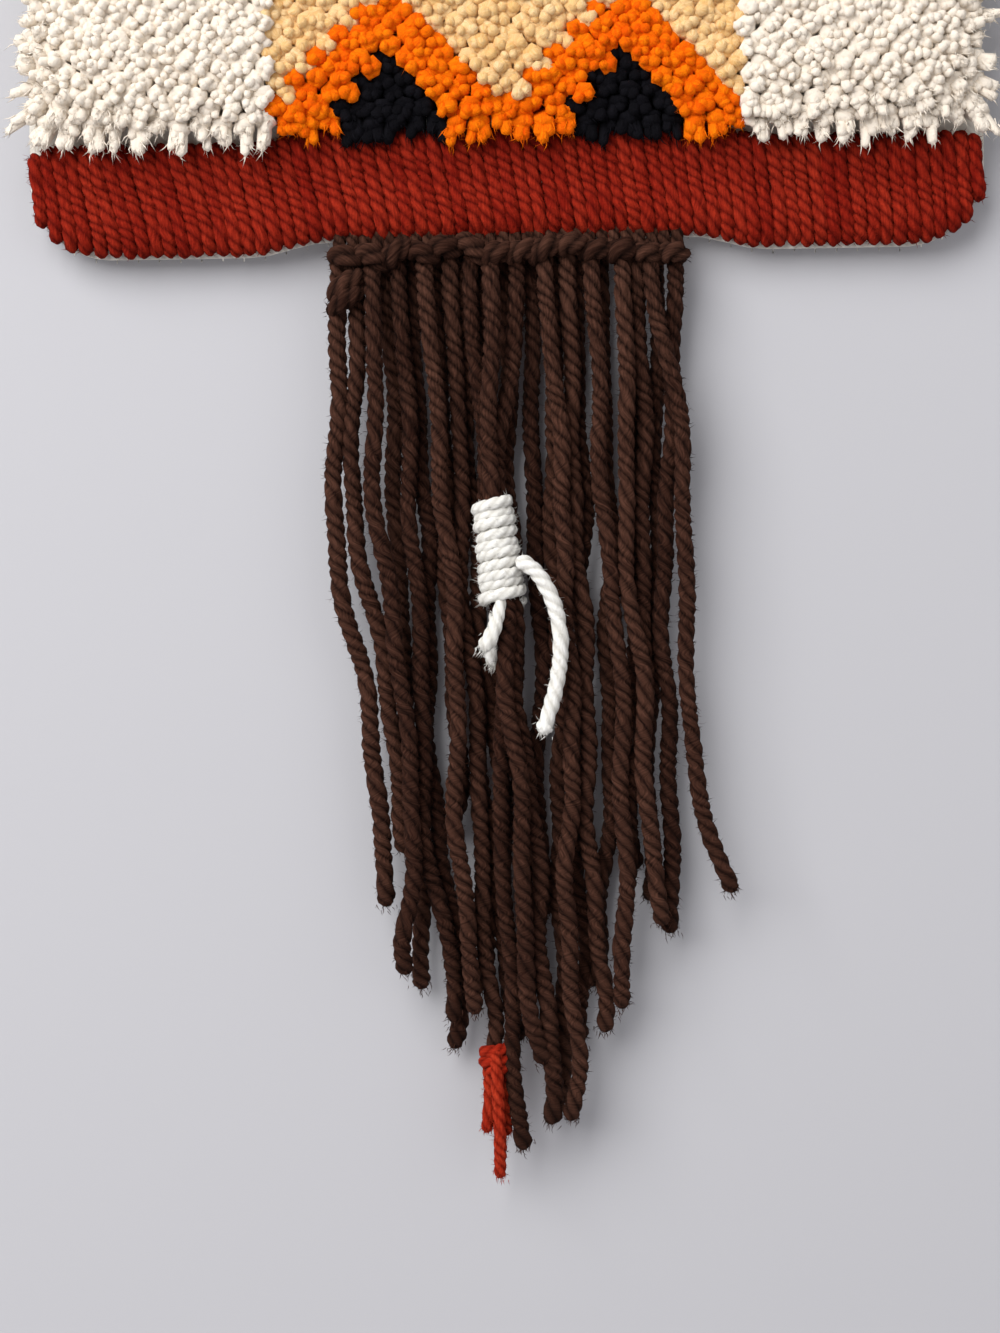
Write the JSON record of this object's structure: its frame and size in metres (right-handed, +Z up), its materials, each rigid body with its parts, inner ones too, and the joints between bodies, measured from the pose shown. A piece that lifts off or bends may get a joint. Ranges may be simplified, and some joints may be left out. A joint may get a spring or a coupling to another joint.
{
  "type": "latch hook wall hanging",
  "caption": "Shaggy latch hook wall hanging: wool pile in stepped diamonds with white sides, a laid yarn band along the lower edge and a tapered yarn fringe with two ties.",
  "frame": {"origin": "middle of the canvas's top edge, on its wall side, where it hangs", "axes": "+Z up, +Y towards the wall, front faces -Y"},
  "size_m": [0.327, 0.0242, 0.5806],
  "materials": {
    "canvas": "matte",
    "white_wool": "matte",
    "orange_wool": "matte",
    "black_wool": "matte",
    "cream_wool": "matte",
    "rust_wool": "matte",
    "brown_wool": "matte",
    "white_cotton": "matte",
    "red_wool": "matte"
  },
  "bodies": {
    "root": {"canvas": "canvas", "white_pile_left": "white_wool", "white_pile_right": "white_wool", "orange_diamond_0_0": "orange_wool", "orange_diamond_0_1": "orange_wool", "orange_diamond_1_0": "orange_wool", "orange_diamond_1_1": "orange_wool", "orange_diamond_2_0": "orange_wool", "orange_diamond_2_1": "orange_wool", "orange_diamond_3_0": "orange_wool", "orange_diamond_3_1": "orange_wool", "black_core_0_0": "black_wool", "black_core_0_1": "black_wool", "black_core_1_0": "black_wool", "black_core_1_1": "black_wool", "black_core_2_0": "black_wool", "black_core_2_1": "black_wool", "black_core_3_0": "black_wool", "black_core_3_1": "black_wool", "cream_lozenge_0_0": "cream_wool", "cream_lozenge_0_1": "cream_wool", "cream_lozenge_0_2": "cream_wool", "cream_lozenge_1_0": "cream_wool", "cream_lozenge_1_1": "cream_wool", "cream_lozenge_1_2": "cream_wool", "cream_lozenge_2_0": "cream_wool", "cream_lozenge_2_1": "cream_wool", "cream_lozenge_2_2": "cream_wool", "rust_band": "rust_wool", "fringe": "brown_wool", "wrap_tie": "white_cotton", "red_tie": "red_wool"}
  },
  "joints": []
}
